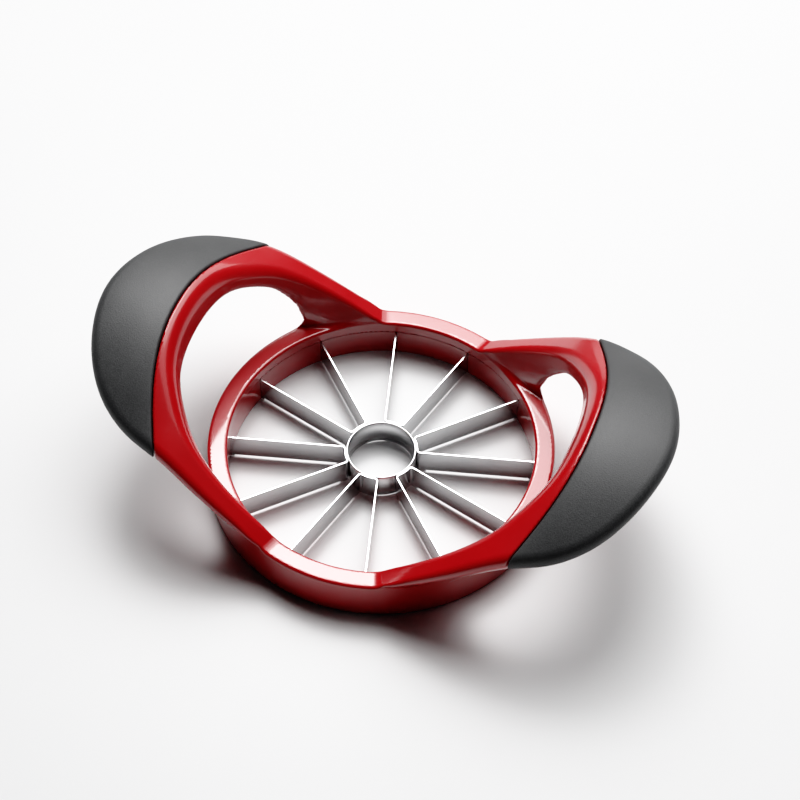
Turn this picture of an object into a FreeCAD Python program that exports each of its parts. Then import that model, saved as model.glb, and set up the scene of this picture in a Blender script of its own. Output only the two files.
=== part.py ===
import FreeCAD, Part
import math
import os
from FreeCAD import Vector as V

# Apple slicer and corer: a round blade head with two raised wing handles.
# Millimetres. +Z up, the blade head rests on z = 0, its axis is the Z axis,
# and the two wings rise towards +X and -X. Both XZ and YZ are mirror planes.

os.makedirs("parts", exist_ok=True)

# ---- blade head -------------------------------------------------------------
RIM_R_IN = 52.0          # inner wall of the head
RIM_R_OUT = 59.3         # outer wall of the head
RIM_H = 15.0             # top of the flat rim
CARRIER_H = 10.7         # top of the inner blade carrier, where the seam shows
CARRIER_R_OUT = 55.5
RING_GAP = 0.05          # clearance between carrier and frame
SNAP_Z = 4.0             # annular snap bead that locks the carrier in
SNAP_R = 0.35
RIM_FILLET_OUT = 1.3
RIM_FILLET_IN = 0.8
BOTTOM_FILLET = 0.8

# ---- blades -----------------------------------------------------------------
BLADE_T = 0.6            # strip thickness
BLADE_Z0 = 0.35          # plain lower edge of the strip, clear of the board
EDGE_Z = 0.75            # ground cutting edge, between plain end tabs
BLADE_Z1 = 10.45         # back of the strip
BEVEL_H = 0.45           # height of the ground cutting bevel
EDGE_T = 0.12            # width left at the cutting edge
BLADE_R_END = 54.6       # blade tip, trapped in its slot
SLOT_W = 0.8
SLOT_R_END = 54.75
SLOT_FLOOR = 0.25
BEVEL_START = 2.0        # plain strip between the root bend and the bevel
HALF_PITCH = 15.0        # degrees, twelve blades at a 30 degree pitch
CORE_R_IN = 11.3
CORE_R_OUT = 11.9
LOOP_R_IN = 11.95        # hairpin loop lies on the core ring
ROOT_R = 1.1             # bend radius where a loop turns into a blade

# ---- wings ------------------------------------------------------------------
# top surface  z = A(x) - C(x) * y^2, x measured outwards on each side
TOP_X = [0.0, 10.0, 18.6, 30.0, 42.0, 51.4, 58.7, 63.7, 67.5, 71.3, 80.0, 90.0, 98.5, 108.0]
TOP_A = [11.6, 15.6, 21.8, 30.1, 38.3, 44.9, 50.3, 54.0, 56.2, 57.5, 58.4, 58.0, 56.4, 53.6]
TOP_C = [0.0020, 0.0023, 0.0025, 0.0027, 0.0028, 0.0030, 0.0038, 0.0050, 0.0060, 0.0067, 0.0071, 0.0076, 0.0080, 0.0080]
# underside
BOT_A = [8.6, 12.6, 18.6, 26.7, 34.0, 39.8, 45.2, 46.6, 46.6, 46.1, 45.5, 45.4, 46.0, 46.6]
BOT_C = [0.0020, 0.0023, 0.0025, 0.0027, 0.0028, 0.0038, 0.0050, 0.0049, 0.0046, 0.0045, 0.0045, 0.0045, 0.0045, 0.0045]
# plan outline of a wing, one quadrant, from the tip to the rim
OUTLINE = [(99.3, 0.0), (96.9, 15.4), (90.4, 30.2), (81.2, 40.7), (70.1, 46.9), (57.8, 50.4), (43.9, 53.4), (37.0, 54.3), (30.0, 54.9), (25.0, 55.1), (20.0, 54.7), (14.0, 53.4)]
# plan of the finger hole's wing side, from the middle to the rim
HOLE = [(67.3, 0.0), (66.7, 10.0), (64.2, 20.3), (58.6, 29.9), (51.4, 37.9), (41.6, 43.3), (29.9, 46.7), (16.2, 48.8)]
# plan of the line where the soft grip meets the moulding
GRIP_LINE = [(71.6, 0.0), (71.0, 12.0), (68.8, 24.0), (64.8, 36.0), (59.0, 49.0), (57.2, 53.0)]
GRIP_SKIN = 2.6          # soft grip over the core, top and bottom
GRIP_RIM = 3.4           # soft grip beyond the core's edge
WINDOW_R = 3.2           # locking holes in the core, filled by the grip


def pchip(xs, ys):
    """Smooth interpolation through the given values with no overshoot."""
    n = len(xs)
    h = [xs[i + 1] - xs[i] for i in range(n - 1)]
    d = [(ys[i + 1] - ys[i]) / h[i] for i in range(n - 1)]
    m = [0.0] * n
    m[0], m[-1] = d[0], d[-1]
    for i in range(1, n - 1):
        if d[i - 1] * d[i] > 0:
            w1, w2 = 2 * h[i] + h[i - 1], h[i] + 2 * h[i - 1]
            m[i] = (w1 + w2) / (w1 / d[i - 1] + w2 / d[i])

    def f(x):
        i = 0
        while i < n - 2 and x > xs[i + 1]:
            i += 1
        t = (x - xs[i]) / h[i]
        return ((2 * t**3 - 3 * t**2 + 1) * ys[i] + (t**3 - 2 * t**2 + t) * h[i] * m[i]
                + (-2 * t**3 + 3 * t**2) * ys[i + 1] + (t**3 - t**2) * h[i] * m[i + 1])
    return f


top_a, top_c = pchip(TOP_X, TOP_A), pchip(TOP_X, TOP_C)
bot_a, bot_c = pchip(TOP_X, BOT_A), pchip(TOP_X, BOT_C)


def z_top(x, y):
    return top_a(x) - top_c(x) * y * y


def z_bot(x, y):
    return bot_a(x) - bot_c(x) * y * y


def surface(fz, xs, ys):
    s = Part.BSplineSurface()
    s.interpolate([[V(x, y, fz(x, y)) for y in ys] for x in xs])
    return s.toShape()


XS = [6.0 + 102.0 * i / 17 for i in range(18)]
YS = [-66.0 + 132.0 * i / 12 for i in range(13)]


def under(fz):
    """Solid below a height field."""
    return surface(fz, XS, YS).extrude(V(0, 0, -200))


def over(fz):
    """Solid above a height field."""
    return surface(fz, XS, YS).extrude(V(0, 0, 200))


def spline(points, tangents=None):
    c = Part.BSplineCurve()
    pts = [V(p[0], p[1], 0) for p in points]
    if tangents:
        c.interpolate(Points=pts, InitialTangent=V(*tangents[0]), FinalTangent=V(*tangents[1]))
    else:
        c.interpolate(pts)
    return c.toShape()


def line(p, q):
    return Part.LineSegment(V(p[0], p[1], 0), V(q[0], q[1], 0)).toShape()


def mirrored(points):
    """A quadrant curve starting on y = 0, carried over to the other side."""
    return [(x, -y) for x, y in reversed(points)] + list(points[1:])


def prism(edges, z0, z1):
    f = Part.Face(Part.Wire(Part.__sortEdges__(edges)))
    f.translate(V(0, 0, z0))
    return f.extrude(V(0, 0, z1 - z0))


def ring(r0, r1, z0, z1):
    return Part.makeCylinder(r1, z1 - z0, V(0, 0, z0)).cut(Part.makeCylinder(r0, z1 - z0, V(0, 0, z0)))


def fillet_at(shape, radius, test):
    edges = [e for e in shape.Edges if test(e)]
    return shape.makeFillet(radius, edges) if edges else shape


def circle_at(r, z):
    def test(e):
        c = e.Curve
        return isinstance(c, Part.Circle) and abs(c.Radius - r) < 1e-3 and abs(c.Center.z - z) < 1e-3
    return test


def revolve(points):
    w = Part.makePolygon([V(r, 0, z) for r, z in points] + [V(points[0][0], 0, points[0][1])])
    return Part.Face(w).revolve(V(0, 0, 0), V(0, 0, 1), 360)


# ---- frame moulding: ring ---------------------------------------------------
rc = CARRIER_R_OUT + RING_GAP
hc = CARRIER_H + RING_GAP
g = SNAP_R + 0.05
head = revolve([
    (rc, 0), (RIM_R_OUT, 0), (RIM_R_OUT, RIM_H), (RIM_R_IN, RIM_H), (RIM_R_IN, hc), (rc, hc),
    (rc, SNAP_Z + 2 * g), (rc + g, SNAP_Z + g), (rc, SNAP_Z),
])
head = fillet_at(head, RIM_FILLET_OUT, circle_at(RIM_R_OUT, RIM_H))
head = fillet_at(head, RIM_FILLET_IN, circle_at(RIM_R_IN, RIM_H))
head = fillet_at(head, BOTTOM_FILLET, circle_at(RIM_R_OUT, 0))

# ---- frame moulding: wings --------------------------------------------------
outline_pts = mirrored(OUTLINE)
outline = [spline(outline_pts), line(outline_pts[0], outline_pts[-1])]
outer = prism(outline, -5, 90)

hole_pts = mirrored(HOLE)
hole_edges = [spline(hole_pts), line(hole_pts[0], hole_pts[-1])]
hole_open = prism(hole_edges, -5, 90)

wing = outer.common(under(z_top)).common(over(z_bot)).cut(hole_open)

# web under the inner edge of each arm: the head's outer wall carried up to the arm
WEB_PLAN = [(26.0, 47.4), (36.0, 45.3), (41.6, 43.3), (47.5, 40.4), (48.5, 41.5), (44.5, 43.5), (38.0, 46.8), (30.0, 51.0)]
WEB_TOE = [(24.0, 46.5), (36.0, 43.4), (41.0, 40.8), (45.9, 37.4), (48.0, 39.6), (44.5, 43.5), (38.0, 46.8), (30.0, 50.5)]
WEB_END = [(20.0, 12.0), (45.0, 12.0), (46.0, 20.0), (48.0, 27.0), (52.0, 33.0), (52.0, 80.0), (20.0, 80.0)]


def web(sy):
    w = Part.makePolygon([V(x, 0, z) for x, z in WEB_END + [WEB_END[0]]])
    keep = Part.Face(w).extrude(V(0, sy * 80, 0))
    out = None
    for plan, drop in ((WEB_PLAN, 1.2), (WEB_TOE, 11.0)):
        w = Part.makePolygon([V(x, sy * y, 0) for x, y in plan + [plan[0]]])
        post = Part.Face(w).extrude(V(0, 0, 60))
        post = post.common(keep).common(under(lambda x, y: z_top(x, y) - drop))
        out = post if out is None else out.fuse(post)
    return out


arms = wing.fuse([web(1), web(-1)])

# soft grip and its core
grip_pts = mirrored(GRIP_LINE)
big = [(130.0, 70.0), (130.0, -70.0)]
grip_zone = prism([spline(grip_pts), line(grip_pts[-1], (grip_pts[-1][0], 70.0)), line((grip_pts[-1][0], 70.0), big[0]),
                   line(big[0], big[1]), line(big[1], (grip_pts[0][0], -70.0)), line((grip_pts[0][0], -70.0), grip_pts[0])],
                  -5, 90)
shell = arms.common(grip_zone)
rest = arms.cut(grip_zone)

core_pts = mirrored([(99.3 - GRIP_RIM, 0.0), (93.7, 14.6), (87.5, 28.4), (79.0, 37.8), (69.0, 43.4), (57.0, 46.8), (44.0, 49.6)])
core_plan = prism([spline(core_pts), line(core_pts[0], core_pts[-1])], -5, 90)
core = core_plan.common(grip_zone).common(under(lambda x, y: z_top(x, y) - GRIP_SKIN))
core = core.common(over(lambda x, y: z_bot(x, y) + GRIP_SKIN))
for wx, wy in ((82.0, -22.0), (86.0, 0.0), (82.0, 22.0)):
    core = core.cut(Part.makeCylinder(WINDOW_R, 60, V(wx, wy, 20)))
core = core.cut(hole_open)
grip = shell.cut(core)
wing_frame = rest.fuse(core)

# soft edges on the grip's outer border
def soften(shape, radius, picks):
    for r in (radius, radius * 0.75, radius * 0.5):
        try:
            out = shape.makeFillet(r, picks(shape))
            if out.isValid() and out.Volume > 0:
                return out
        except Exception:
            pass
    return shape


def border(shape):
    """Edges along the outline, at the top and bottom of the outer wall."""
    out = []
    for e in shape.Edges:
        m = e.valueAt((e.FirstParameter + e.LastParameter) / 2)
        p0, p1 = e.Vertexes[0].Point, e.Vertexes[-1].Point
        if e.Length < 12:
            continue
        d = outer_curve.distToShape(Part.Vertex(V(m.x, m.y, 0)))[0]
        d0 = outer_curve.distToShape(Part.Vertex(V(p0.x, p0.y, 0)))[0]
        d1 = outer_curve.distToShape(Part.Vertex(V(p1.x, p1.y, 0)))[0]
        if d < 0.05 and d0 < 0.05 and d1 < 0.05 and (p0 - p1).Length > 3:
            out.append(e)
    return out


outer_curve = spline(outline_pts)
grip = soften(grip, 3.0, border)

wing_frame_l = wing_frame.mirror(V(0, 0, 0), V(1, 0, 0))
grip_l = grip.mirror(V(0, 0, 0), V(1, 0, 0))

frame = head.fuse([wing_frame, wing_frame_l])
frame = frame.cut(Part.makeCylinder(RIM_R_IN, 80, V(0, 0, hc)))
# nothing of the wings may reach into the carrier's seat
frame = frame.cut(Part.makeCylinder(rc, hc + 5, V(0, 0, -5)))
frame = frame.removeSplitter()

# ---- blade carrier ----------------------------------------------------------
carrier = revolve([
    (RIM_R_IN, 0), (CARRIER_R_OUT, 0), (CARRIER_R_OUT, SNAP_Z + 0.05), (CARRIER_R_OUT + SNAP_R, SNAP_Z + SNAP_R + 0.05),
    (CARRIER_R_OUT, SNAP_Z + 2 * SNAP_R + 0.05), (CARRIER_R_OUT, CARRIER_H), (RIM_R_IN, CARRIER_H),
])
carrier = carrier.makeChamfer(0.25, [e for e in carrier.Edges if circle_at(RIM_R_IN, CARRIER_H)(e) or circle_at(RIM_R_IN, 0)(e)])
angles = [HALF_PITCH + 30.0 * k for k in range(12)]
for a in angles:
    s = Part.makeBox(SLOT_R_END - RIM_R_IN + 2, SLOT_W, CARRIER_H, V(RIM_R_IN - 2, -SLOT_W / 2, SLOT_FLOOR))
    s.rotate(V(0, 0, 0), V(0, 0, 1), a)
    carrier = carrier.cut(s)

# ---- core ring --------------------------------------------------------------
core_ring = ring(CORE_R_IN, CORE_R_OUT, BLADE_Z0, BLADE_Z1)
core_ring = core_ring.makeChamfer(0.25, [e for e in core_ring.Edges if circle_at(CORE_R_OUT, BLADE_Z0)(e)])


# ---- blades -----------------------------------------------------------------
def hairpin(angle):
    """One strip bent to a hairpin: two blades and the loop between them."""
    h = math.radians(HALF_PITCH)
    t = BLADE_T
    rm = LOOP_R_IN + t / 2                       # middle line of the loop
    # the middle lines of the blades run radially at +-h; an arc tangent to the loop
    # and to the blade's line turns one into the other, outside the loop
    rise = math.asin(ROOT_R / (rm + ROOT_R))
    turn = V((rm + ROOT_R) * math.cos(h - rise), (rm + ROOT_R) * math.sin(h - rise), 0)
    along = V(math.cos(h), math.sin(h), 0)
    across = V(-math.sin(h), math.cos(h), 0)
    to_loop = V(-math.cos(h - rise), -math.sin(h - rise), 0)
    mid_way = (to_loop + across).normalize()
    straight = (rm + ROOT_R) * math.cos(rise)    # radius at which the blade is straight
    flip = lambda p: V(p.x, -p.y, p.z)

    def side(s):
        """One side of the strip: s = -1 the face towards the ring, s = 1 the face inside the pair."""
        r = ROOT_R - s * t / 2
        a = turn + to_loop * r
        m = turn + mid_way * r
        b = along * straight - across * (s * t / 2)
        e = along * BLADE_R_END - across * (s * t / 2)
        edges = [Part.Arc(a, m, b).toShape(), Part.LineSegment(b, e).toShape(),
                 Part.Arc(flip(a), flip(m), flip(b)).toShape(), Part.LineSegment(flip(b), flip(e)).toShape(),
                 Part.Arc(flip(a), V(rm + s * t / 2, 0, 0), a).toShape()]
        return edges, e

    inner, e1 = side(1)
    outer_side, e2 = side(-1)
    caps = [Part.LineSegment(e1, e2).toShape(), Part.LineSegment(flip(e1), flip(e2)).toShape()]
    face = Part.Face(Part.Wire(Part.__sortEdges__(inner + outer_side + caps)))
    face.translate(V(0, 0, BLADE_Z0))
    strip = face.extrude(V(0, 0, BLADE_Z1 - BLADE_Z0))
    d = straight - rm
    # ground edge along the straight part of each blade, raised a little and bevelled on both faces
    start, reach = rm + d + BEVEL_START, RIM_R_IN - 1.2 - (rm + d + BEVEL_START)
    for s in (1, -1):
        k = Part.makeBox(reach, t + 0.4, EDGE_Z - BLADE_Z0 + 0.1, V(start, -t / 2 - 0.2, BLADE_Z0 - 0.1))
        k.rotate(V(0, 0, 0), V(0, 0, 1), s * HALF_PITCH)
        strip = strip.cut(k)
        for side in (1, -1):
            w = Part.makePolygon([V(0, side * (t / 2 + 0.01), EDGE_Z - 0.01), V(0, side * EDGE_T / 2, EDGE_Z - 0.01),
                                  V(0, side * (t / 2 + 0.01), EDGE_Z + BEVEL_H), V(0, side * (t / 2 + 0.01), EDGE_Z - 0.01)])
            k = Part.Face(w).extrude(V(reach, 0, 0))
            k.translate(V(start, 0, 0))
            k.rotate(V(0, 0, 0), V(0, 0, 1), s * HALF_PITCH)
            strip = strip.cut(k)
    strip.rotate(V(0, 0, 0), V(0, 0, 1), angle)
    return strip


pieces = {
    "frame_body": frame,
    "blade_carrier_ring": carrier,
    "core_ring": core_ring,
    "right_grip": grip,
    "left_grip": grip_l,
}
for k in range(6):
    pieces["blade_pair_%d" % (k + 1)] = hairpin(30.0 + 60.0 * k)

for name, shape in pieces.items():
    solids = shape.Solids
    if len(solids) == 1:
        shape = solids[0]
    bb = shape.BoundBox
    print(name, "solids", len(solids), "valid", shape.isValid(), "volume %.0f" % shape.Volume,
          "box %.1f %.1f %.1f / %.1f %.1f %.1f" % (bb.XMin, bb.YMin, bb.ZMin, bb.XMax, bb.YMax, bb.ZMax))
    shape.exportStep("parts/%s.step" % name)
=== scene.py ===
import math

import bmesh
import bpy
import numpy as np
from mathutils import Matrix, Vector


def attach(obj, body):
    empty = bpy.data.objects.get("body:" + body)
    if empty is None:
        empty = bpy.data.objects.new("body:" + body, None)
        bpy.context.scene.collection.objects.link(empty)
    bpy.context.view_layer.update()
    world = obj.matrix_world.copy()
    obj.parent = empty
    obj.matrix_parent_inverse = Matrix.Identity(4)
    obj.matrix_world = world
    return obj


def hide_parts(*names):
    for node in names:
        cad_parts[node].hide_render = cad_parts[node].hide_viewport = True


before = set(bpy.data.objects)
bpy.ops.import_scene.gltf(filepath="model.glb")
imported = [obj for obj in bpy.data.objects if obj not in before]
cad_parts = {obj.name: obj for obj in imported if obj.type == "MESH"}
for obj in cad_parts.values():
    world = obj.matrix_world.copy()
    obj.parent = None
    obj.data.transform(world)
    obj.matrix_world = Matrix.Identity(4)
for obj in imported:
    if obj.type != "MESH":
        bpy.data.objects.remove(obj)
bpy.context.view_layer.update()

# Apple slicer and corer. Shapes are worked out in millimetres in the CAD frame
# and turned into metres when a mesh is made. The moulding and the grips are
# smooth closed surfaces read off a signed distance field, so that every edge is
# truly rounded; the carrier, the core ring and the blades are built directly.

CELL = 0.71
scene = bpy.context.scene

# ------------------------------------------------------------------ dimensions
RIM_R_IN, RIM_R_OUT, RIM_H, DRAFT = 52.0, 59.3, 15.0, 0.04
CARRIER_H, CARRIER_R_OUT, RING_GAP = 10.7, 55.5, 0.05
BLADE_T, BLADE_Z0, BLADE_Z1, EDGE_Z, BEVEL_H = 0.6, 0.35, 10.45, 0.75, 0.45
BLADE_R_END, SLOT_W, SLOT_R_END, SLOT_FLOOR = 54.6, 0.8, 54.75, 0.25
CORE_R_IN, CORE_R_OUT, LOOP_R_IN, ROOT_R = 11.3, 11.9, 11.95, 1.1
HALF_PITCH = 15.0

TOP_X = [0.0, 10.0, 18.6, 30.0, 42.0, 51.4, 58.7, 63.7, 67.5, 71.3, 80.0, 90.0, 98.5, 108.0]
TOP_A = [11.6, 15.6, 21.8, 30.1, 38.3, 44.9, 50.3, 54.0, 56.2, 57.5, 58.4, 58.0, 56.4, 53.6]
TOP_C = [.0020, .0023, .0025, .0027, .0028, .0030, .0038, .0050, .0060, .0067, .0071, .0076, .0080, .0080]
BOT_A = [8.6, 12.6, 18.6, 26.7, 34.0, 39.8, 45.2, 46.6, 46.6, 46.1, 45.5, 45.4, 46.0, 46.6]
BOT_C = [.0020, .0023, .0025, .0027, .0028, .0038, .0050, .0049, .0046, .0045, .0045, .0045, .0045, .0045]
OUTLINE = [(99.3, 0), (96.9, 15.4), (90.4, 30.2), (81.2, 40.7), (70.1, 46.9), (57.8, 50.4), (43.9, 53.4), (37, 54.3), (30, 54.9), (25, 55.1), (20, 54.7), (14, 53.4), (6, 51), (-2, 48)]
HOLE = [(67.3, 0), (66.7, 10), (64.2, 20.3), (58.6, 29.9), (51.4, 37.9), (41.6, 43.3), (29.9, 46.7), (16.2, 48.8), (6, 49.6), (-2, 49.8)]
GRIP_LINE = [(71.6, 0), (71, 12), (68.8, 24), (64.8, 36), (59, 49), (55, 58), (51, 67), (47, 76)]
CORE_LINE = [(95.9, 0), (93.7, 14.6), (87.5, 28.4), (79, 37.8), (69, 43.4), (57, 46.8), (44, 49.6), (30, 52), (10, 53)]
LEAN = 0.50             # how far the outer wall draws in as it goes down
GROOVE = 0.17           # half the gap between soft grip and moulding
GRIP_SKIN, WINDOW_R = 2.6, 3.2
PROUD = 0.22            # the soft grip stands this far above the moulding


# --------------------------------------------------------------- interpolation
def pchip(xs, ys, at):
    xs, ys = np.array(xs, float), np.array(ys, float)
    h, d = np.diff(xs), np.diff(ys) / np.diff(xs)
    m = np.zeros(len(xs))
    m[0], m[-1] = d[0], d[-1]
    for i in range(1, len(xs) - 1):
        if d[i - 1] * d[i] > 0:
            w1, w2 = 2 * h[i] + h[i - 1], h[i] + 2 * h[i - 1]
            m[i] = (w1 + w2) / (w1 / d[i - 1] + w2 / d[i])
    i = np.clip(np.searchsorted(xs, at) - 1, 0, len(xs) - 2)
    t = (at - xs[i]) / h[i]
    inner = ((2 * t**3 - 3 * t**2 + 1) * ys[i] + (t**3 - 2 * t**2 + t) * h[i] * m[i]
             + (3 * t**2 - 2 * t**3) * ys[i + 1] + (t**3 - t**2) * h[i] * m[i + 1])
    low, high = ys[0] + (at - xs[0]) * m[0], ys[-1] + (at - xs[-1]) * m[-1]
    return np.where(at < xs[0], low, np.where(at > xs[-1], high, inner))


def keys(t):
    """Weights of the four neighbours in cubic interpolation."""
    return (((-0.5 * t + 1) * t - 0.5) * t, (1.5 * t - 2.5) * t * t + 1,
            ((-1.5 * t + 2) * t + 0.5) * t, (0.5 * t - 0.5) * t * t)


class Line:
    """A smooth function of one variable, with its slope."""

    def __init__(self, xs, ys, soft=2.5, step=0.25, lo=-20.0, hi=140.0):
        g = np.arange(lo - 5 * soft - 4 * step, hi + 5 * soft + 4 * step, step)
        v = pchip(xs, ys, g)
        n = int(round(4 * soft / step))
        if n:
            k = np.exp(-0.5 * (np.arange(-n, n + 1) * step / soft) ** 2)
            v = np.convolve(v, k / k.sum(), mode="same")
        self.v, self.lo, self.step = v, g[0], step

    def __call__(self, x):
        u = (x - self.lo) / self.step
        i = np.clip(np.floor(u).astype(int), 1, len(self.v) - 3)
        w = keys(u - i)
        return sum(w[k] * self.v[i - 1 + k] for k in range(4))

    def slope(self, x, e=0.05):
        return (self(x + e) - self(x - e)) / (2 * e)


class Plane:
    """A smooth even function of |x| and |y|, held on a grid."""

    def __init__(self, fn, nx=118, ny=78, step=1.0):
        self.step = step
        x, y = np.meshgrid(np.arange(-3, nx + 3) * step, np.arange(-3, ny + 3) * step, indexing="ij")
        self.v = fn(np.abs(x), np.abs(y))

    def __call__(self, x, y):
        x, y = np.broadcast_arrays(x, y)
        u, w = x / self.step + 3, y / self.step + 3
        i = np.clip(np.floor(u).astype(int), 1, self.v.shape[0] - 3)
        j = np.clip(np.floor(w).astype(int), 1, self.v.shape[1] - 3)
        a, b = keys(u - i), keys(w - j)
        out = 0.0
        for k in range(4):
            for m in range(4):
                out = out + a[k] * b[m] * self.v[i - 1 + k, j - 1 + m]
        return out


def spline(points, step=0.4):
    """Points along a natural cubic spline through the given points."""
    p = np.array(points, float)
    s = np.concatenate([[0], np.cumsum(np.hypot(*np.diff(p, axis=0).T))])
    n = len(s)
    h = np.diff(s)
    a = np.zeros((n, n))
    r = np.zeros((n, p.shape[1]))
    a[0, 0] = a[-1, -1] = 1
    for i in range(1, n - 1):
        a[i, i - 1], a[i, i], a[i, i + 1] = h[i - 1], 2 * (h[i - 1] + h[i]), h[i]
        r[i] = 6 * ((p[i + 1] - p[i]) / h[i] - (p[i] - p[i - 1]) / h[i - 1])
    m = np.linalg.solve(a, r)
    q = np.linspace(0, s[-1], int(s[-1] / step) + 1)
    i = np.clip(np.searchsorted(s, q) - 1, 0, n - 2)
    u, v, hh = (q - s[i])[:, None], (s[i + 1] - q)[:, None], h[i][:, None]
    return (m[i] * v**3 / (6 * hh) + m[i + 1] * u**3 / (6 * hh)
            + (p[i] / hh - m[i] * hh / 6) * v + (p[i + 1] / hh - m[i + 1] * hh / 6) * u)


def mirrored(points):
    return [(x, -y) for x, y in reversed(points)] + list(points[1:])


def side_of(curve):
    """Signed distance to an open curve, positive on its left."""
    a, d = curve[:-1], np.diff(curve, axis=0)
    dd = (d**2).sum(1)

    def fn(x, y):
        p = np.stack([x.ravel(), y.ravel()], 1)
        out = np.empty(len(p))
        for s in range(0, len(p), 3000):
            ap = p[s:s + 3000, None] - a[None]
            t = np.clip((ap * d).sum(2) / dd, 0, 1)
            q = ap - t[..., None] * d
            k = (q**2).sum(2).argmin(1)
            r = np.arange(len(k))
            n = q[r, k]
            out[s:s + 3000] = np.hypot(n[:, 0], n[:, 1]) * np.sign(d[k, 0] * ap[r, k, 1] - d[k, 1] * ap[r, k, 0])
        return out.reshape(x.shape)
    return fn


# ------------------------------------------------------------ shape of the wing
top_a, top_c = Line(TOP_X, TOP_A), Line(TOP_X, TOP_C)
bot_a, bot_c = Line(TOP_X, BOT_A), Line(TOP_X, BOT_C)

outline_side = Plane(lambda x, y: -side_of(spline(mirrored(OUTLINE)))(x, y))
hole_side = Plane(side_of(spline(mirrored(HOLE))))
grip_side = Plane(lambda x, y: -side_of(spline(mirrored(GRIP_LINE)))(x, y))
core_side = Plane(lambda x, y: -side_of(spline(mirrored(CORE_LINE)))(x, y))

# the wall inside the finger hole and over the rim stands in as it goes down, by this much per millimetre,
# down to a depth of about DRAFT_DEPTH
DRAFT_DEPTH, DRAFT_FADE = 13.0, 4.0
draft_in = Line([0, 25, 34, 44, 52, 60, 68, 90], [.32, .32, .33, .34, .33, .32, .31, .31], soft=2)
web_end = Line([0, 15, 18, 24.5, 28, 30, 33, 35.5, 40, 60], [45.6, 45.6, 46.3, 47.9, 49.1, 50.0, 51.4, 53.0, 57.5, 80], soft=.9, lo=-10, hi=70)
web_reach = Line([0, 15, 18, 24.5, 30, 35.5, 42, 60], [59.3, 58.7, 59.0, 60.3, 61.8, 64.2, 68, 78], soft=.8, lo=-10, hi=70)
edge_top = Line([0, 18, 24, 30, 42, 52, 60, 70, 80, 100], [1.0, 1.1, 1.8, 2.8, 4.0, 4.4, 4.7, 4.8, 5.0, 5.0], soft=2)
edge_bot = Line([0, 18, 30, 42, 52, 60, 70, 80, 100], [.8, .8, 1.0, 1.3, 1.6, 2.0, 2.5, 3.0, 3.0], soft=2)
edge_in = Line([0, 17, 24, 30, 42, 60, 68, 100], [1.0, 1.0, 1.2, 1.5, 2.0, 2.8, 3.2, 3.3], soft=1.5)
root_r = Line([0, 22, 34, 44, 60], [1.0, 1.0, 1.7, .9, .8], soft=1.5)


def ri(a, b, r):
    """Intersection with a rounded edge."""
    return np.minimum(np.maximum(a, b), -r) + np.hypot(np.maximum(a + r, 0), np.maximum(b + r, 0))


def ru(a, b, r):
    """Union with a hollow fillet."""
    return np.maximum(np.minimum(a, b), r) - np.hypot(np.maximum(r - a, 0), np.maximum(r - b, 0))


def fields(x, y):
    """Everything that depends on the plan position only. x and y are never negative."""
    f = {}
    f["x"], f["y"] = x, y
    f["r"] = np.hypot(x, y)
    ta, tc, ba, bc = top_a(x), top_c(x), bot_a(x), bot_c(x)
    f["zt"], f["zb"] = ta - tc * y * y, ba - bc * y * y
    tx, ty = top_a.slope(x) - top_c.slope(x) * y * y, -2 * tc * y
    bx, by = bot_a.slope(x) - bot_c.slope(x) * y * y, -2 * bc * y
    f["nt"], f["nb"] = 1 / np.sqrt(1 + tx**2 + ty**2), 1 / np.sqrt(1 + bx**2 + by**2)
    e = 0.2
    f["out"] = outline_side(x, y)
    ox, oy = (outline_side(x + e, y) - outline_side(x - e, y)) / (2 * e), (outline_side(x, y + e) - outline_side(x, y - e)) / (2 * e)
    f["nw"] = 1 / np.sqrt((ox + LEAN * tx) ** 2 + (oy + LEAN * ty) ** 2 + LEAN**2)
    f["hole"], f["grip"], f["core"] = hole_side(x, y), grip_side(x, y), core_side(x, y)
    k = draft_in(x)
    hx, hy = (hole_side(x + e, y) - hole_side(x - e, y)) / (2 * e), (hole_side(x, y + e) - hole_side(x, y - e)) / (2 * e)
    f["k"], f["hx"], f["hy"], f["tx"], f["ty"] = k, hx, hy, tx, ty
    f["rt"], f["rb"], f["rin"], f["ru"] = edge_top(x), edge_bot(x), edge_in(x), root_r(x)
    return f


def wing_parts(f, z, grow=0.0):
    """The wing's upper skin with the hole's wall, and its outer wall with the underside."""
    top = (z - f["zt"]) * f["nt"] - grow
    bot = (f["zb"] - z) * f["nb"] - grow
    deep = np.maximum(f["zt"] - z, 0)
    out = (f["out"] + LEAN * deep) * f["nw"] - grow
    over = np.clip(deep - (DRAFT_DEPTH - DRAFT_FADE), 0, 2 * DRAFT_FADE)
    foot = np.minimum(deep, DRAFT_DEPTH + DRAFT_FADE) - over**2 / (4 * DRAFT_FADE)
    k = f["k"] * (1 - over / (2 * DRAFT_FADE))
    hole = (f["hole"] - f["k"] * foot) / np.sqrt((f["hx"] - k * f["tx"]) ** 2 + (f["hy"] - k * f["ty"]) ** 2 + k**2)
    web = ri(f["r"] - web_reach(z), f["x"] - web_end(z), 0.5)
    low = ru(bot, web, 7.0)
    return ri(top, hole, f["rin"]), np.maximum(ri(out, low, f["rb"]), 12.5 - z)


def wing(f, z, grow=0.0):
    upper, side = wing_parts(f, z, grow)
    return ri(upper, side, f["rt"])


def core(f, z):
    """The hard core under a soft grip, with its locking windows."""
    d = np.maximum((z - f["zt"]) * f["nt"] + GRIP_SKIN, (f["zb"] - z) * f["nb"] + GRIP_SKIN)
    out = (f["out"] + LEAN * np.maximum(f["zt"] - z, 0)) * f["nw"] + 2.2
    d = ri(d, np.maximum(f["core"], out), 1.0)
    for wx, wy in ((82.0, 22.0), (86.0, 0.0)):
        d = np.maximum(d, WINDOW_R - np.hypot(f["x"] - wx, f["y"] - wy))
    return np.maximum(d, -1.5 - f["grip"])


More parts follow.
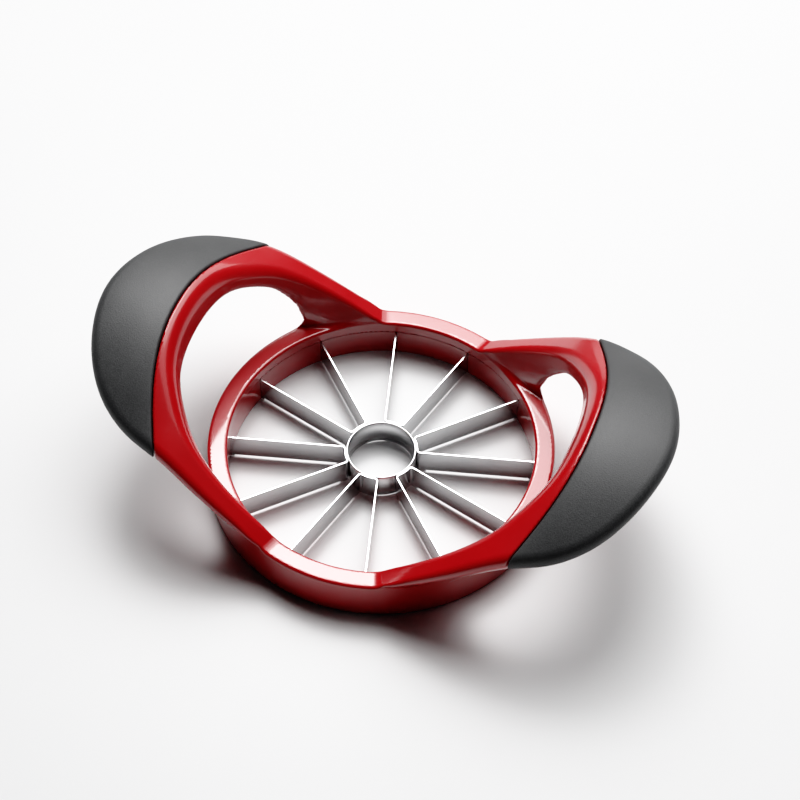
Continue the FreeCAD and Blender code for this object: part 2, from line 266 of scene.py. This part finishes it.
def frame_field(f, z):
    upper, side = wing_parts(f, z)
    upper = ru(z - RIM_H, upper, f["ru"])
    side = ru(ri(f["r"] - (RIM_R_OUT - DRAFT * z), -z, 0.8), side, 0.15)
    w = np.clip((f["zt"] - RIM_H) / 6, 0, 1) * np.clip((z - RIM_H) / 3, 0, 1)
    # the web's edges are tighter than the arm's upper edges
    t = np.clip((53 - f["x"]) / 6, 0, 1) * np.clip((f["zt"] - z - 5) / 5, 0, 1)
    body = ri(upper, side, 1.0 + (f["rt"] + (2.8 - f["rt"]) * t - 1.0) * w)
    seat = CARRIER_R_OUT + RING_GAP - f["r"]
    lip = ri(RIM_R_IN + 0.05 * (z - RIM_H) - f["r"], CARRIER_H + RING_GAP - z, 0.25)
    body = ri(body, np.minimum(seat, lip), 1.0)
    return np.minimum(ri(body, f["grip"] + GROOVE, 0.5), core(f, z))


def grip_field(f, z):
    body = ri(wing(f, z, PROUD), GROOVE - f["grip"], 0.7)
    return np.maximum(body, -(core(f, z) - 0.02))


# ----------------------------------------------------- from a field to a mesh
def surface_net(v, xs, ys, zs):
    """A closed quad mesh of the zero surface of v on a rectilinear grid."""
    inside = v < 0
    nx, ny, nz = v.shape
    shape = (nx - 1, ny - 1, nz - 1)
    cnt = np.zeros(shape, np.int8)
    for a in (0, 1):
        for b in (0, 1):
            for c in (0, 1):
                cnt += inside[a:nx - 1 + a, b:ny - 1 + b, c:nz - 1 + c]
    active = (cnt > 0) & (cnt < 8)
    index = np.full(shape, -1, np.int64)
    n = int(active.sum())
    index[active] = np.arange(n)
    total, hits = np.zeros((n, 3)), np.zeros(n)
    quads = []
    grids = (xs, ys, zs)
    for ax in range(3):
        lo = [slice(None)] * 3
        hi = [slice(None)] * 3
        lo[ax], hi[ax] = slice(0, -1), slice(1, None)
        s0, s1 = inside[tuple(lo)], inside[tuple(hi)]
        e = np.argwhere(s0 != s1)
        i0 = tuple(e.T)
        v0, v1 = v[tuple(lo)][i0], v[tuple(hi)][i0]
        t = v0 / (v0 - v1)
        p = np.stack([grids[k][e[:, k]] for k in range(3)], 1).astype(float)
        p[:, ax] += t * (grids[ax][e[:, ax] + 1] - grids[ax][e[:, ax]])
        o1, o2 = [k for k in range(3) if k != ax]
        cells = []
        for d1, d2 in ((-1, -1), (0, -1), (0, 0), (-1, 0)):
            c = e.copy()
            c[:, o1] += d1
            c[:, o2] += d2
            ok = ((c >= 0) & (c < np.array(shape))).all(1)
            k = np.where(ok, index[tuple(np.clip(c, 0, np.array(shape) - 1).T)], -1)
            cells.append(k)
            g = k >= 0
            for m in range(3):
                total[:, m] += np.bincount(k[g], p[g, m], n)
            hits += np.bincount(k[g], minlength=n)
        q = np.stack(cells, 1)
        q = q[(q >= 0).all(1)]
        flip = s0[i0][(np.stack(cells, 1) >= 0).all(1)]
        if ax == 1:
            flip = ~flip
        q[~flip] = q[~flip][:, ::-1]
        quads.append(q)
    return total / hits[:, None], np.concatenate(quads)


def field_at(fn, p):
    return fn(fields(np.abs(p[:, 0]), np.abs(p[:, 1])), p[:, 2])


def gradient(fn, p, e=0.02):
    g = np.empty_like(p)
    for k in range(3):
        d = np.zeros(3)
        d[k] = e
        g[:, k] = (field_at(fn, p + d) - field_at(fn, p - d)) / (2 * e)
    return g


def settle(fn, p, quads, rounds):
    """Moves points onto the surface, and evens them out along it."""
    edges = np.concatenate([quads[:, [k, (k + 1) % 4]] for k in range(4)])
    deg = np.bincount(edges.ravel(), minlength=len(p)).astype(float)
    for step in range(rounds):
        if step:
            mean = np.zeros_like(p)
            for m in range(3):
                mean[:, m] = (np.bincount(edges[:, 0], p[edges[:, 1], m], len(p))
                              + np.bincount(edges[:, 1], p[edges[:, 0], m], len(p))) / np.maximum(deg, 1)
            g = gradient(fn, p)
            n = g / np.maximum(np.linalg.norm(g, axis=1), 1e-6)[:, None]
            move = mean - p
            p = p + 0.6 * (move - (move * n).sum(1)[:, None] * n)
        for _ in range(2):
            d, g = field_at(fn, p), gradient(fn, p)
            gg = np.maximum((g**2).sum(1), 0.05)
            p = p - np.clip(d / gg, -0.4, 0.4)[:, None] * g
    g = gradient(fn, p)
    return p, g / np.maximum(np.linalg.norm(g, axis=1), 1e-6)[:, None]


def make_mesh(name, verts, faces, normals=None, scale=0.001):
    """An object from points in millimetres."""
    me = bpy.data.meshes.new(name)
    verts = np.asarray(verts, float) * scale
    faces = [tuple(map(int, f)) for f in faces]
    me.from_pydata([tuple(v) for v in verts], [], faces)
    me.update()
    me.polygons.foreach_set("use_smooth", np.ones(len(me.polygons), bool))
    if normals is not None:
        me.normals_split_custom_set_from_vertices([tuple(n) for n in np.asarray(normals, float)])
    ob = bpy.data.objects.new(name, me)
    scene.collection.objects.link(ob)
    return ob


def lattice(lo, hi, step, fine=()):
    """Grid lines from lo to hi, closer together in the given spans."""
    out = [lo]
    while out[-1] < hi:
        s = step
        for a, b, k in fine:
            if a - 1e-6 <= out[-1] < b:
                s = k
        out.append(out[-1] + s)
    return np.array(out)


f_step = CELL
xs = np.arange(0, 101.5, f_step)
ys = np.arange(0, 60.6, f_step)
fine = ((-0.9, 1.2, f_step * 0.5), (10.2, 11.1, f_step * 0.4), (13.2, 15.4, f_step * 0.5))
zs = lattice(-0.9, 60.0, f_step, fine)
quarter = frame_field(fields(xs[:, None, None], ys[None, :, None]), zs[None, None, :])
whole = np.concatenate([quarter[:0:-1], quarter], 0)
whole = np.concatenate([whole[:, :0:-1], whole], 1)
fx, fy = np.concatenate([-xs[:0:-1], xs]), np.concatenate([-ys[:0:-1], ys])
p, q = surface_net(whole, fx, fy, zs)
p, n = settle(frame_field, p, q, 4)
moulding = make_mesh("frame_moulding", p, q, n)
print("frame", len(p), len(q))

g_step = 0.62
gx = np.arange(49.0, 101.5, g_step)
gy = np.arange(-54 * g_step * 2, 54 * g_step * 2 + g_step / 2, g_step)
gy = gy[np.abs(gy) < 56]
gz = lattice(20.0, 60.5, g_step)
vol = grip_field(fields(gx[:, None, None], np.abs(gy)[None, :, None]), gz[None, None, :])
p, q = surface_net(vol, gx, gy, gz)
p, n = settle(grip_field, p, q, 4)
print("grip", len(p), len(q))
grip_r = make_mesh("grip_right", p, q, n)
flip = np.array([-1, 1, 1])
grip_l = make_mesh("grip_left", p * flip, q[:, ::-1], n * flip)


# ------------------------------------------------------ lathe-made steel and ring
def lathe(name, profile, steps, sharp=40):
    """A closed ring from a closed profile of (radius, height), in millimetres."""
    m = len(profile)
    verts, faces = [], []
    for i in range(steps):
        a = 2 * math.pi * i / steps
        verts += [(r * math.cos(a), r * math.sin(a), z) for r, z in profile]
    for i in range(steps):
        j = (i + 1) % steps
        faces += [(i * m + k, j * m + k, j * m + (k + 1) % m, i * m + (k + 1) % m) for k in range(m)]
    ob = make_mesh(name, verts, faces)
    area = sum(profile[k][0] * profile[(k + 1) % m][1] - profile[(k + 1) % m][0] * profile[k][1] for k in range(m))
    if area > 0:
        ob.data.flip_normals()
    crisp(ob, sharp)
    return ob


def crisp(ob, degrees):
    """Smooth shading with sharp edges above an angle, held in the mesh."""
    bm = bmesh.new()
    bm.from_mesh(ob.data)
    lim = math.radians(degrees)
    for e in bm.edges:
        e.smooth = len(e.link_faces) == 2 and e.calc_face_angle(0) < lim
    bm.to_mesh(ob.data)
    bm.free()


def arc(cx, cz, r, a0, a1, n):
    return [(cx + r * math.cos(math.radians(a0 + (a1 - a0) * k / n)), cz + r * math.sin(math.radians(a0 + (a1 - a0) * k / n))) for k in range(n + 1)]


STEPS = 720
ri_, ro_, hc_ = RIM_R_IN, CARRIER_R_OUT, CARRIER_H
profile = (arc(ri_ + .3, .3, .3, 180, 270, 4) + arc(ro_ - .4, .4, .4, 270, 360, 4)
           + [(ro_, 4.05), (ro_ + .35, 4.4), (ro_, 4.75)]
           + arc(ro_ - .3, hc_ - .3, .3, 0, 90, 3) + arc(ri_ + .35, hc_ - .35, .35, 90, 180, 5))
carrier = lathe("carrier_ring", profile, STEPS, 60)
slots = []
for k in range(12):
    a = math.radians(HALF_PITCH + 30 * k)
    c, s = math.cos(a), math.sin(a)
    box = [(x, y, z) for z in (SLOT_FLOOR, 14) for x, y in ((50, -SLOT_W / 2), (SLOT_R_END, -SLOT_W / 2), (SLOT_R_END, SLOT_W / 2), (50, SLOT_W / 2))]
    slots.append([(x * c - y * s, x * s + y * c, z) for x, y, z in box])
verts = [v for b in slots for v in b]
faces = []
for k in range(12):
    o = 8 * k
    faces += [(o, o + 3, o + 2, o + 1), (o + 4, o + 5, o + 6, o + 7)] + [(o + i, o + (i + 1) % 4, o + 4 + (i + 1) % 4, o + 4 + i) for i in range(4)]
cutter = make_mesh("slot_cutter", verts, faces)
mod = carrier.modifiers.new("slots", "BOOLEAN")
mod.operation, mod.solver, mod.object = "DIFFERENCE", "EXACT", cutter
bpy.context.view_layer.update()
cut = bpy.data.meshes.new_from_object(carrier.evaluated_get(bpy.context.evaluated_depsgraph_get()))
carrier.modifiers.clear()
carrier.data = cut
bpy.data.objects.remove(cutter)
crisp(carrier, 35)

c = 0.12
core_ring = lathe("core_tube", [(CORE_R_IN + c, BLADE_Z1), (CORE_R_IN, BLADE_Z1 - c), (CORE_R_IN, BLADE_Z0 + c), (CORE_R_IN + c, BLADE_Z0),
                                (CORE_R_OUT - .2, BLADE_Z0), (CORE_R_OUT, BLADE_Z0 + .2), (CORE_R_OUT, BLADE_Z1 - c), (CORE_R_OUT - c, BLADE_Z1)], 180, 50)


# ----------------------------------------------------------------------- blades
def hairpin(name, angle):
    """Two blades and the loop between them: one strip, swept along its middle line."""
    h = math.radians(HALF_PITCH)
    rm = LOOP_R_IN + BLADE_T / 2
    rise = math.asin(ROOT_R / (rm + ROOT_R))
    cx, cy = (rm + ROOT_R) * math.cos(h - rise), (rm + ROOT_R) * math.sin(h - rise)
    straight = (rm + ROOT_R) * math.cos(rise)
    pts = []                                     # (x, y, tangent angle, kind), half of the strip
    for k in range(9):                           # loop, from its middle outwards
        a = (h - rise) * k / 8
        pts.append((rm * math.cos(a), rm * math.sin(a), a + math.pi / 2, 0.0))
    start = math.atan2(-cy, -cx)
    sweep = math.pi / 2 - rise
    for k in range(1, 9):                        # root bend
        a = start - sweep * k / 8
        pts.append((cx + ROOT_R * math.cos(a), cy + ROOT_R * math.sin(a), a - math.pi / 2, 0.0))
    r0, r1 = straight, BLADE_R_END
    stops = [r0 + k for k in (.4, 1.0, 1.6, 1.9, 2.0, 2.1, 2.2, 2.6)] + list(np.linspace(r0 + 3.5, RIM_R_IN - 2.4, 14)) + [RIM_R_IN - k for k in (1.9, 1.5, 1.4, 1.3, 1.2, .9, 0)] + [r1]
    for r in stops:
        b = min(1.0, max(0.0, (r - r0 - 1.9) / .25)) * min(1.0, max(0.0, (RIM_R_IN - 1.2 - r) / .25))
        pts.append((r * math.cos(h), r * math.sin(h), h, b))
    other = [(x, -y, math.pi - t, b) for x, y, t, b in pts[:0:-1]]
    path = other + pts
    t, e = BLADE_T / 2, 0.06
    c = 0.09
    verts, faces, uvs = [], [], []
    run = 0.0
    for i, (x, y, ta, b) in enumerate(path):
        if i:
            run += math.hypot(x - path[i - 1][0], y - path[i - 1][1])
        nx, ny = -math.sin(ta), math.cos(ta)
        z0 = BLADE_Z0 + (EDGE_Z - BLADE_Z0) * b
        bh, ew = 0.10 + (BEVEL_H - 0.10) * b, t - 0.08 + (e - t + 0.08) * b
        sect = [(-t, BLADE_Z1 - c), (-t + c, BLADE_Z1), (t - c, BLADE_Z1), (t, BLADE_Z1 - c),
                (t, z0 + bh), (ew, z0), (-ew, z0), (-t, z0 + bh)]
        verts += [(x + nx * w, y + ny * w, z) for w, z in sect]
        uvs += [(run, z) for w, z in sect]
    m = 8
    kinds = []
    for i in range(len(path) - 1):
        for k in range(m):
            faces.append((i * m + k, i * m + (k + 1) % m, (i + 1) * m + (k + 1) % m, (i + 1) * m + k))
            kinds.append(1 if k in (4, 5, 6) else 0)
    last = (len(path) - 1) * m
    faces += [tuple(range(m))[::-1], tuple(range(last, last + m))]
    kinds += [0, 0]
    a = math.radians(angle)
    ca, sa = math.cos(a), math.sin(a)
    verts = [(x * ca - y * sa, x * sa + y * ca, z) for x, y, z in verts]
    ob = make_mesh(name, verts, faces)
    bm = bmesh.new()
    bm.from_mesh(ob.data)
    bm.faces.ensure_lookup_table()
    uv = bm.loops.layers.uv.new("strip")
    for f, kind in zip(bm.faces, kinds):
        f.material_index = kind
        for lp in f.loops:
            u, v = uvs[lp.vert.index]
            lp[uv].uv = (u * 0.001, v * 0.001)
    bmesh.ops.recalc_face_normals(bm, faces=bm.faces)
    bm.to_mesh(ob.data)
    bm.free()
    crisp(ob, 25)
    return ob


blades = [hairpin("blade_strip_%d" % (k + 1), 30.0 + 60.0 * k) for k in range(6)]


# -------------------------------------------------------------------- materials
def material(name):
    m = bpy.data.materials.new(name)
    m.use_nodes = True
    nt = m.node_tree
    return m, nt, nt.nodes["Principled BSDF"]


def node(nt, kind, **values):
    n = nt.nodes.new(kind)
    for k, v in values.items():
        if k in n.inputs:
            n.inputs[k].default_value = v
        else:
            setattr(n, k, v)
    return n


def noise(nt, vector, scale, detail=2.0, rough=0.5):
    n = node(nt, "ShaderNodeTexNoise")
    n.inputs["Scale"].default_value = scale
    n.inputs["Detail"].default_value = detail
    n.inputs["Roughness"].default_value = rough
    nt.links.new(vector, n.inputs["Vector"])
    return n.outputs["Fac"]


def ramp(nt, source, stops, smooth=True):
    n = node(nt, "ShaderNodeValToRGB")
    n.color_ramp.interpolation = "EASE" if smooth else "LINEAR"
    while len(n.color_ramp.elements) < len(stops):
        n.color_ramp.elements.new(0.5)
    for el, (pos, col) in zip(n.color_ramp.elements, stops):
        el.position = pos
        el.color = (*col, 1) if len(col) == 3 else col
    nt.links.new(source, n.inputs["Fac"])
    return n.outputs["Color"]


def span(nt, source, lo, hi, a=0.0, b=1.0):
    n = node(nt, "ShaderNodeMapRange")
    n.inputs["From Min"].default_value, n.inputs["From Max"].default_value = a, b
    n.inputs["To Min"].default_value, n.inputs["To Max"].default_value = lo, hi
    nt.links.new(source, n.inputs["Value"])
    return n.outputs["Result"]


def add(nt, a, b, how="ADD"):
    n = node(nt, "ShaderNodeMath", operation=how)
    nt.links.new(a, n.inputs[0])
    if isinstance(b, (int, float)):
        n.inputs[1].default_value = b
    else:
        nt.links.new(b, n.inputs[1])
    return n.outputs[0]


def bump(nt, height, strength, distance, shader):
    n = node(nt, "ShaderNodeBump")
    n.inputs["Strength"].default_value = strength
    n.inputs["Distance"].default_value = distance
    nt.links.new(height, n.inputs["Height"])
    nt.links.new(n.outputs["Normal"], shader.inputs["Normal"])


def stretched(nt, vector, sx, sy, sz):
    n = node(nt, "ShaderNodeMapping")
    n.inputs["Scale"].default_value = (sx, sy, sz)
    nt.links.new(vector, n.inputs["Vector"])
    return n.outputs["Vector"]


def red_plastic(name, deep=1.0, rough=0.10):
    m, nt, p = material(name)
    obj = node(nt, "ShaderNodeTexCoord").outputs["Object"]
    cloud = noise(nt, obj, 28, 3, 0.55)
    a, b = (0.395 * deep, 0.0057 * deep, 0.0095 * deep), (0.450 * deep, 0.0081 * deep, 0.0128 * deep)
    nt.links.new(ramp(nt, cloud, [(0.35, a), (0.65, b)]), p.inputs["Base Color"])
    smear = noise(nt, obj, 60, 4, 0.6)
    hair = noise(nt, stretched(nt, obj, 900, 140, 700), 1.0, 2, 0.6)
    r = add(nt, span(nt, smear, -0.02, 0.035, 0.35, 0.7), span(nt, hair, 0.0, 0.035, 0.58, 0.75))
    nt.links.new(add(nt, r, rough + 0.20), p.inputs["Roughness"])
    nt.links.new(add(nt, r, rough - 0.03), p.inputs["Coat Roughness"])
    peel = noise(nt, obj, 420, 2, 0.5)
    bump(nt, peel, 0.05, 0.0002, p)
    p.inputs["IOR"].default_value = 1.53
    p.inputs["Specular IOR Level"].default_value = 0.35
    p.inputs["Coat Weight"].default_value = 1.0
    return m


def soft_grip(name):
    m, nt, p = material(name)
    obj = node(nt, "ShaderNodeTexCoord").outputs["Object"]
    cloud = noise(nt, obj, 45, 4, 0.6)
    grain = noise(nt, obj, 2300, 2, 0.6)
    base = ramp(nt, cloud, [(0.3, (0.0400, 0.0405, 0.0415)), (0.7, (0.0480, 0.0485, 0.0495))])
    mix = node(nt, "ShaderNodeMix", data_type="RGBA", blend_type="MULTIPLY")
    mix.inputs["Factor"].default_value = 1.0
    nt.links.new(base, mix.inputs["A"])
    nt.links.new(ramp(nt, grain, [(0.3, (0.80, 0.80, 0.80)), (0.7, (1.18, 1.18, 1.18))]), mix.inputs["B"])
    nt.links.new(mix.outputs["Result"], p.inputs["Base Color"])
    nt.links.new(add(nt, span(nt, grain, -0.05, 0.06, 0.3, 0.7), 0.52), p.inputs["Roughness"])
    pits = node(nt, "ShaderNodeTexVoronoi")
    pits.inputs["Scale"].default_value = 2300
    nt.links.new(obj, pits.inputs["Vector"])
    bump(nt, add(nt, grain, pits.outputs["Distance"]), 0.30, 0.00008, p)
    p.inputs["IOR"].default_value = 1.50
    return m


def steel(name, ground=False):
    m, nt, p = material(name)
    uv = node(nt, "ShaderNodeTexCoord").outputs["UV"]
    obj = node(nt, "ShaderNodeTexCoord").outputs["Object"]
    p.inputs["Metallic"].default_value = 1.0
    if ground:
        # ground bevel: fine grind lines, and a lighter steel than the faces, which is a painted highlight for the
        # bright band along the cutting edge
        lines = noise(nt, stretched(nt, uv, 5200, 260, 1), 1.0, 3, 0.6)
        col = ramp(nt, lines, [(0.35, (0.62, 0.62, 0.63)), (0.65, (0.80, 0.80, 0.81))])
        r = span(nt, lines, 0.24, 0.40, 0.3, 0.7)
        h, s = lines, 0.12
    else:
        lines = noise(nt, stretched(nt, uv, 60, 4200, 1), 1.0, 4, 0.6)
        spots = noise(nt, obj, 160, 4, 0.65)
        col = ramp(nt, add(nt, add(nt, lines, 0.6, "MULTIPLY"), add(nt, spots, 0.4, "MULTIPLY")),
                   [(0.35, (0.54, 0.54, 0.545)), (0.65, (0.61, 0.61, 0.615))])
        r = add(nt, span(nt, lines, 0.20, 0.26, 0.3, 0.7), span(nt, spots, -0.01, 0.02, 0.4, 0.8))
        h, s = lines, 0.035
    nt.links.new(col, p.inputs["Base Color"])
    nt.links.new(r, p.inputs["Roughness"])
    bump(nt, h, s, 0.0001, p)
    return m


red = red_plastic("red_gloss")
# the carrier ring is the same red plastic made 10 % darker: painted shade for the lower band down inside the rim; it
# is also a little rougher
inner_red_shaded = red_plastic("red_gloss_inner_shaded", 0.9, 0.12)
rubber = soft_grip("grip_matte")
blade_face = steel("blade_face")
# the bevels' lighter steel is a painted highlight; their grind lines are real
blade_edge_glint = steel("blade_ground_glint", True)
tube_steel = steel("tube_steel")


def dress(ob, *mats):
    ob.data.materials.clear()
    for m in mats:
        ob.data.materials.append(m)


dress(moulding, red)
dress(carrier, inner_red_shaded)
dress(core_ring, tube_steel)
dress(grip_r, rubber)
dress(grip_l, rubber)
uv = core_ring.data.uv_layers.new(name="strip")
for lp in core_ring.data.loops:
    v = core_ring.data.vertices[lp.vertex_index].co
    uv.data[lp.index].uv = (math.atan2(v.y, v.x) * 0.0119, v.z)
for b in blades:
    dress(b, blade_face, blade_edge_glint)

for ob, nodes, slot in [(moulding, ["frame_body"], "red_plastic"), (carrier, ["blade_carrier_ring"], "red_plastic"),
                        (core_ring, ["core_ring"], "blade_steel"), (grip_r, ["right_grip"], "soft_grip"), (grip_l, ["left_grip"], "soft_grip")] \
        + [(b, ["blade_pair_%d" % (k + 1)], "blade_steel") for k, b in enumerate(blades)]:
    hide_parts(*nodes)
    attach(ob, "root")

# ------------------------------------------------------------------------ stage
bm = bmesh.new()
bmesh.ops.create_grid(bm, x_segments=40, y_segments=40, size=3.0)
me = bpy.data.meshes.new("floor")
bm.to_mesh(me)
bm.free()
floor = bpy.data.objects.new("floor", me)
scene.collection.objects.link(floor)
m, nt, p = material("floor_pale")
obj = node(nt, "ShaderNodeTexCoord").outputs["Object"]
nt.links.new(ramp(nt, noise(nt, obj, 6, 3, 0.5), [(0.3, (0.800, 0.800, 0.803)), (0.7, (0.815, 0.815, 0.818))]), p.inputs["Base Color"])
p.inputs["Roughness"].default_value = 0.35
p.inputs["IOR"].default_value = 1.40
dress(floor, m)
floor.location.z = -0.00005

# ------------------------------------------------------------------------ light
world = bpy.data.worlds.new("studio")
scene.world = world
world.use_nodes = True
bg = world.node_tree.nodes["Background"]
bg.inputs["Color"].default_value = (0.95, 0.97, 1.0, 1)
bg.inputs["Strength"].default_value = 0.010
AIM = (0, 0, 0.02)


def away(az, el, d):
    """A place at a bearing and an elevation in degrees, d metres from the object."""
    a, e = math.radians(az), math.radians(el)
    return (d * math.cos(e) * math.cos(a), d * math.cos(e) * math.sin(a), d * math.sin(e))


def softbox(name, at, size, radiance, shape="ELLIPSE"):
    li = bpy.data.lights.new(name, "AREA")
    li.shape = shape
    li.size, li.size_y = size
    li.energy = math.pi * size[0] * size[1] * (math.pi / 4 if shape == "ELLIPSE" else 1) * radiance
    ob = bpy.data.objects.new(name, li)
    scene.collection.objects.link(ob)
    ob.location = at
    ob.rotation_mode = "QUATERNION"
    ob.rotation_quaternion = (Vector(at) - Vector(AIM)).to_track_quat("Z", "Y")
    return ob


# one broad diffuser behind and above, brightest in its left half; the rest is its bounce
softbox("hot", (-0.37, 0.70, 1.15), (0.44, 0.38), 8.4)
softbox("mid", (-0.25, 0.72, 1.25), (1.08, 1.05), 3.15)
softbox("halo", away(92, 52, 1.75), (2.5, 1.9), 1.82)
softbox("low", away(96, 9, 1.5), (1.0, 0.3), 0.7, "RECTANGLE")
softbox("side", away(52, 60, 1.6), (1.3, 1.3), 0.70)

# ----------------------------------------------------------------------- camera
cam = bpy.data.objects.new("camera", bpy.data.cameras.new("camera"))
scene.collection.objects.link(cam)
fwd, right, up = Vector((-0.21201148, 0.57946756, -0.78693614)), Vector((0.9365251, 0.35055225, 0.00581951)), Vector((-0.27923445, 0.73575164, 0.61700701))
rot = Matrix((right, up, -fwd)).transposed().to_4x4()
cam.matrix_world = Matrix.Translation((0.140137, -0.364924, 0.536178)) @ rot
cam.data.lens = 86.83
cam.data.sensor_width = 36.0
cam.data.sensor_fit = "HORIZONTAL"
cam.data.clip_start, cam.data.clip_end = 0.05, 20
scene.camera = cam
vs = scene.view_settings
vs.view_transform = "Standard"
# print contrast: deeper shadows, a soft shoulder
vs.use_curve_mapping = True
curve = vs.curve_mapping.curves[3]
curve.points[0].location, curve.points[1].location = (0, 0), (1.0, .985)
for x, y in [(.01, .0035), (.02, .0115), (.035, .031), (.06, .072), (.1, .142), (.2, .30), (.3, .435), (.45, .61), (.6, .765), (.75, .88), (.9, .955)]:
    curve.points.new(x, y)
vs.curve_mapping.update()
